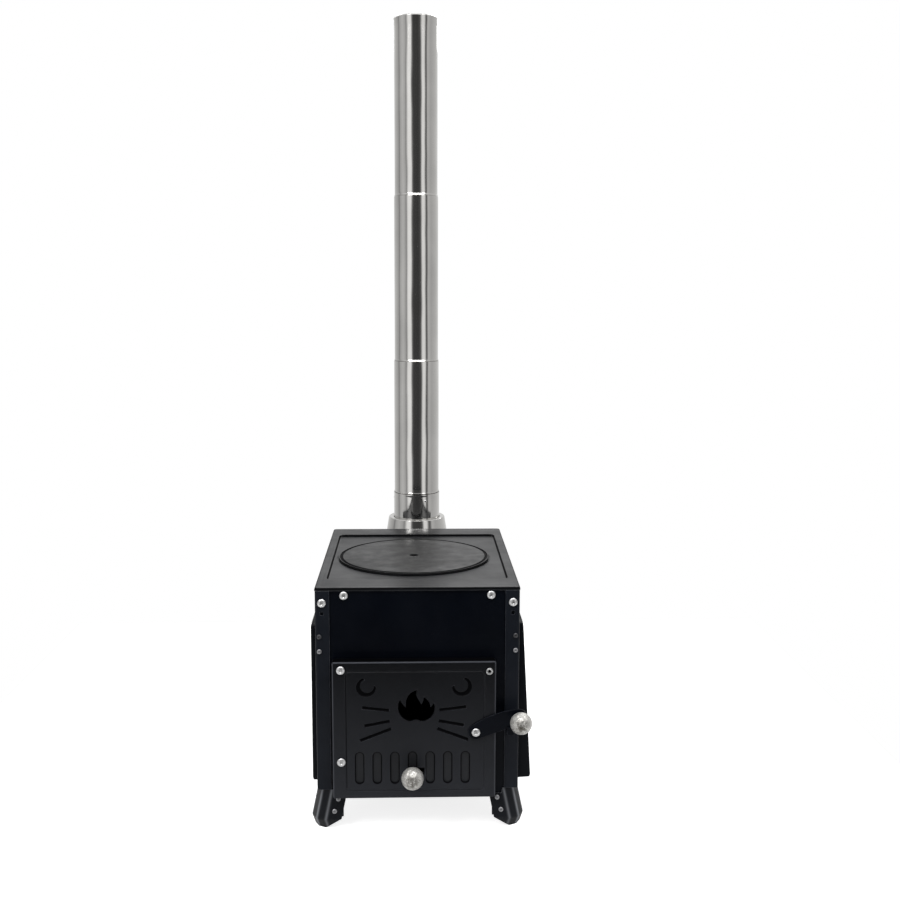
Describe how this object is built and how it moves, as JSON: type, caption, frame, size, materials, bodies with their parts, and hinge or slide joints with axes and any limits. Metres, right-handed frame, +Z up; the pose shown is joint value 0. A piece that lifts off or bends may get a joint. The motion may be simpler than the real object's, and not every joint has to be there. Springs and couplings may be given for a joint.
{
  "type": "tent wood stove",
  "caption": "Compact black steel wood stove with a pan-shaped door, sliding air damper, lift-out cooking lid, fold-down side shelves, splayed legs and a telescoping stainless chimney.",
  "frame": {"origin": "on the floor, under the centre of the bounding box", "axes": "+Z up along the chimney, -Y towards the user at the door, +X to the right as seen from the door side"},
  "size_m": [0.252, 0.4584, 0.9703],
  "materials": {
    "body_paint": "satin black heat-proof paint with a cool tint",
    "door_paint": "satin black heat-proof paint, a little greyer",
    "lid_and_grate": "black, fine-grained",
    "stainless": "bright, almost mirror-like rolled stainless sheet",
    "polished_steel": "polished ball knobs",
    "bright_zinc": "bright zinc-plated screws"
  },
  "bodies": {
    "firebox": {"base_plate": "body_paint", "door_catch": "body_paint", "fire_grate": "lid_and_grate", "flue_adapter": "stainless", "flue_box": "body_paint", "flue_collar": "stainless", "front_panel": "body_paint", "grate_rail_left": "body_paint", "grate_rail_right": "body_paint", "hinge_bracket_lower": "body_paint", "hinge_bracket_upper": "body_paint", "leg_bolt_lower_front_left": "bright_zinc", "leg_bolt_lower_front_right": "bright_zinc", "leg_bolt_lower_rear_left": "bright_zinc", "leg_bolt_lower_rear_right": "bright_zinc", "leg_bolt_upper_front_left": "bright_zinc", "leg_bolt_upper_front_right": "bright_zinc", "leg_bolt_upper_rear_left": "bright_zinc", "leg_bolt_upper_rear_right": "bright_zinc", "leg_front_left": "body_paint", "leg_front_right": "body_paint", "leg_rear_left": "body_paint", "leg_rear_right": "body_paint", "panel_screw_left": "bright_zinc", "panel_screw_right": "bright_zinc", "post_front_left": "body_paint", "post_front_right": "body_paint", "post_pin_left": "bright_zinc", "post_pin_right": "bright_zinc", "post_rear_left": "body_paint", "post_rear_right": "body_paint", "post_screw_left": "bright_zinc", "post_screw_right": "bright_zinc", "rear_panel": "body_paint", "shelf_bolt_front_left": "bright_zinc", "shelf_bolt_front_right": "bright_zinc", "shelf_bolt_rear_left": "bright_zinc", "shelf_bolt_rear_right": "bright_zinc", "side_panel_left": "body_paint", "side_panel_right": "body_paint", "top_plate": "body_paint"},
    "door": {"door_panel": "door_paint", "door_eyelet": "bright_zinc", "door_hinge_upper": "body_paint", "door_hinge_lower": "body_paint", "door_screw_upper": "bright_zinc", "door_screw_lower": "bright_zinc", "damper_guide_upper": "body_paint", "damper_guide_lower": "body_paint", "latch_screw": "bright_zinc"},
    "damper": {"damper_plate": "body_paint", "damper_knob": "polished_steel"},
    "latch": {"latch_arm": "body_paint", "latch_knob": "polished_steel"},
    "cook_lid": {"cook_lid": "lid_and_grate"},
    "pipe_lower": {"pipe_lower": "stainless"},
    "pipe_middle": {"pipe_middle": "stainless"},
    "pipe_upper": {"pipe_upper": "stainless"},
    "shelf_left": {"side_shelf_left": "body_paint"},
    "shelf_right": {"side_shelf_right": "body_paint"}
  },
  "joints": [
    {"name": "door_hinge", "type": "hinge", "parent": "firebox", "child": "door", "pos_m": [-0.09571, -0.18875, 0.119], "axis": [0, 0, -1], "range_deg": [0, 110]},
    {"name": "damper_slide", "type": "slide", "parent": "door", "child": "damper", "axis": [1, 0, 0], "range_m": [0, 0.0099]},
    {"name": "latch_pivot", "type": "hinge", "parent": "door", "child": "latch", "pos_m": [0.06049, -0.19605, 0.1175], "axis": [0, -1, 0], "range_deg": [-7.5, 35]},
    {"name": "lid_lift", "type": "slide", "parent": "firebox", "child": "cook_lid", "axis": [0, 0, 1], "range_m": [0, 0.25]},
    {"name": "pipe_lower_lift", "type": "slide", "parent": "firebox", "child": "pipe_lower", "axis": [0, 0, 1], "range_m": [0, 0.1]},
    {"name": "pipe_middle_lift", "type": "slide", "parent": "pipe_lower", "child": "pipe_middle", "axis": [0, 0, 1], "range_m": [0, 0.06]},
    {"name": "pipe_upper_lift", "type": "slide", "parent": "pipe_middle", "child": "pipe_upper", "axis": [0, 0, 1], "range_m": [0, 0.05]},
    {"name": "shelf_left_fold", "type": "hinge", "parent": "firebox", "child": "shelf_left", "pos_m": [-0.11451, -0.02275, 0.2243], "axis": [0, 1, 0], "range_deg": [0, 90]},
    {"name": "shelf_right_fold", "type": "hinge", "parent": "firebox", "child": "shelf_right", "pos_m": [0.10549, -0.02275, 0.2243], "axis": [0, -1, 0], "range_deg": [-3, 86.9]}
  ]
}
